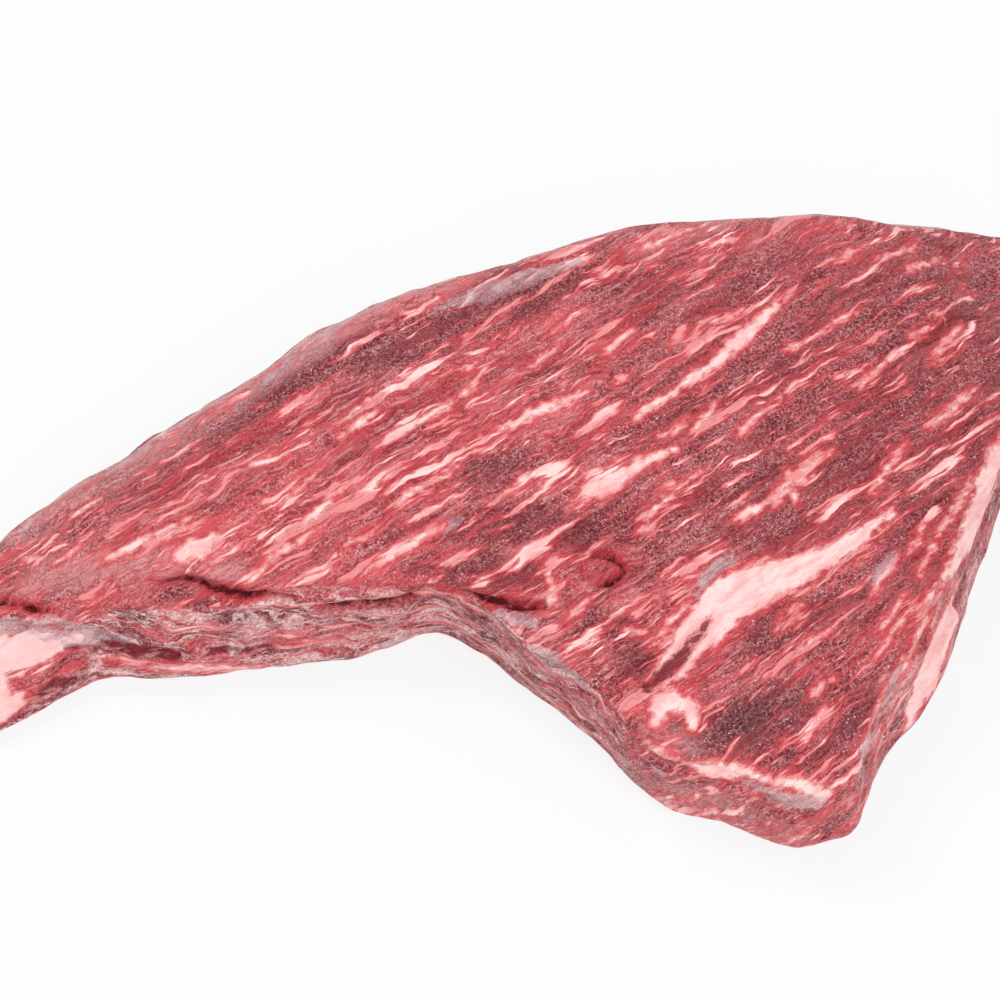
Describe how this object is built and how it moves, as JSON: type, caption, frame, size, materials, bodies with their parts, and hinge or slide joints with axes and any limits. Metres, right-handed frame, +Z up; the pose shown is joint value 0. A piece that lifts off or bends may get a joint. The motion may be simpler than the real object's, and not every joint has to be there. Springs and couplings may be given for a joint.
{
  "type": "raw beef tri-tip",
  "caption": "Raw beef tri-tip lying flat: a curved triangular cut with a thin tail, an open grained face with fat seams, and a flat underside.",
  "frame": {"origin": "on the table under the middle of the meat's box", "axes": "+X along the length, from the thin tail to the broad end; +Y from the notched front edge to the rounded back edge; +Z up, out of the cut face"},
  "size_m": [0.3232, 0.185, 0.0517],
  "materials": {
    "raw_beef": "moist satin"
  },
  "bodies": {
    "root": {"tri_tip": "raw_beef"}
  },
  "joints": []
}
